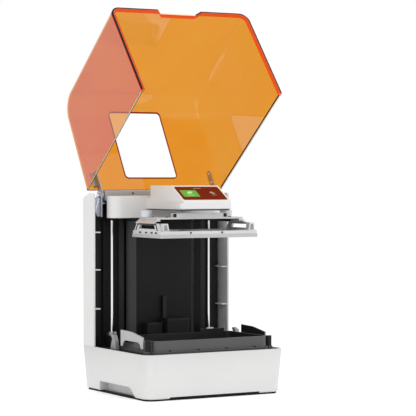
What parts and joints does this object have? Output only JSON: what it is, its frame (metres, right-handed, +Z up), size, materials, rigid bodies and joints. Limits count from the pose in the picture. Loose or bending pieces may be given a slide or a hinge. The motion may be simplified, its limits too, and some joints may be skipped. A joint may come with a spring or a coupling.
{
  "type": "resin printer",
  "caption": "Desktop resin printer with a tilting clear orange hood, touch-screen console, lifting build platform and lift-out vat in a white and black case.",
  "frame": {"origin": "centre of the base on the table, in the plane of the rubber ring that it stands on", "axes": "+Z up, +Y to the back of the printer, +X to its right as seen from the front"},
  "size_m": [0.318, 0.3524, 0.7703],
  "materials": {
    "white_plastic": "fine satin",
    "black_plastic": "matte",
    "black_steel": "satin powder coat",
    "grey_plastic": "satin",
    "rubber": "matte",
    "bright_steel": "ground",
    "hinge_metal": "satin",
    "bronze": "turned",
    "cast_light": "blasted",
    "vat_metal": "dark anodised",
    "clear_orange": "clear amber",
    "rim_orange": "clear red-orange",
    "film": "clear film",
    "panel_glass": "black glass",
    "lens": "clear",
    "screen_red": "glossy",
    "circuit": "solder mask",
    "pale_board": "white mask",
    "aluminium": "extruded"
  },
  "bodies": {
    "base": {"base_shell": "white_plastic", "bottom_plate": "black_steel", "foot_ring": "rubber", "top_deck": "black_steel", "screen_frame": "black_plastic", "lcd_panel": "panel_glass", "light_housing": "aluminium", "lens_array": "lens", "led_board": "pale_board", "heat_sink": "aluminium", "led_fan_frame": "black_plastic", "mainboard": "circuit", "power_supply": "aluminium", "power_inlet": "black_plastic", "usb_port": "bright_steel", "wing_left": "white_plastic", "wing_right": "white_plastic", "rear_cover": "white_plastic", "back_panel": "black_steel", "column_liners": "black_steel", "tower_cover": "black_steel", "rod_feet": "bright_steel", "guide_rods": "bright_steel", "top_plate": "black_steel", "screw_bearing": "bright_steel", "stepper_motor": "black_steel", "exhaust_fan_frame": "black_plastic", "beam_cover": "white_plastic", "top_cap": "grey_plastic", "hinge_bar": "hinge_metal", "hinge_brackets": "hinge_metal", "hinge_pins": "bright_steel", "console_body": "white_plastic", "screen_glass": "screen_red", "display_panel": "black_plastic", "feed_module": "black_plastic", "vat_guides": "grey_plastic"},
    "hood": {"hood_shell": "clear_orange", "hood_rim": "rim_orange", "hood_arms": "hinge_metal"},
    "carriage": {"carriage_beam": "black_steel", "rod_bushings": "bronze", "lead_nut": "bronze", "carriage_arms": "black_steel"},
    "drive_screw": {"lead_screw": "bright_steel", "coupler": "aluminium"},
    "platform": {"build_plate": "cast_light", "plate_cradle": "cast_light"},
    "clamp_left": {"clamp_knob_left": "cast_light"},
    "clamp_right": {"clamp_knob_right": "cast_light"},
    "vat": {"vat_body": "vat_metal", "vat_film": "film", "film_frame": "vat_metal", "vat_handles": "grey_plastic", "vat_screws": "black_steel"},
    "thumb_left": {"vat_knob_left": "black_plastic"},
    "thumb_right": {"vat_knob_right": "black_plastic"},
    "rocker": {"power_rocker": "black_plastic"},
    "led_fan": {"led_fan_rotor": "black_plastic"},
    "exhaust_fan": {"exhaust_fan_rotor": "black_plastic"}
  },
  "joints": [
    {"name": "hood_hinge", "type": "hinge", "parent": "base", "child": "hood", "pos_m": [0, 0.1014, 0.395], "axis": [-1, 0, 0], "range_deg": [-129, 0]},
    {"name": "platform_lift", "type": "slide", "parent": "base", "child": "carriage", "axis": [0, 0, 1], "range_m": [-0.2215, 0]},
    {"name": "screw_spin", "type": "hinge", "parent": "base", "child": "drive_screw", "pos_m": [0, 0.105, 0.2], "axis": [0, 0, 1], "range_deg": [-10000, 0]},
    {"name": "platform_slide", "type": "slide", "parent": "carriage", "child": "platform", "axis": [0, -1, 0], "range_m": [0, 0.1]},
    {"name": "clamp_left_turn", "type": "hinge", "parent": "platform", "child": "clamp_left", "pos_m": [-0.092, -0.015, 0.36], "axis": [0, 0, 1], "range_deg": [0, 90]},
    {"name": "clamp_right_turn", "type": "hinge", "parent": "platform", "child": "clamp_right", "pos_m": [0.092, -0.015, 0.36], "axis": [0, 0, -1], "range_deg": [0, 90]},
    {"name": "vat_lift", "type": "slide", "parent": "base", "child": "vat", "axis": [0, 0, 1], "range_m": [0, 0.08]},
    {"name": "thumb_left_turn", "type": "hinge", "parent": "vat", "child": "thumb_left", "pos_m": [-0.138, -0.106, 0.1], "axis": [0, 0, 1], "continuous": true},
    {"name": "thumb_right_turn", "type": "hinge", "parent": "vat", "child": "thumb_right", "pos_m": [0.138, -0.106, 0.1], "axis": [0, 0, 1], "continuous": true},
    {"name": "power_rocker_tilt", "type": "hinge", "parent": "base", "child": "rocker", "pos_m": [-0.068, 0.127, 0.031], "axis": [1, 0, 0], "range_deg": [-18, 0]},
    {"name": "led_fan_spin", "type": "hinge", "parent": "base", "child": "led_fan", "pos_m": [0, -0.048, 0.011], "axis": [0, 0, 1], "continuous": true},
    {"name": "exhaust_fan_spin", "type": "hinge", "parent": "base", "child": "exhaust_fan", "pos_m": [0.06, 0.128, 0.32], "axis": [0, 1, 0], "continuous": true}
  ],
  "couplings": [
    {"joint": "screw_spin", "follows": "platform_lift", "rad_per_m": 785.4}
  ]
}
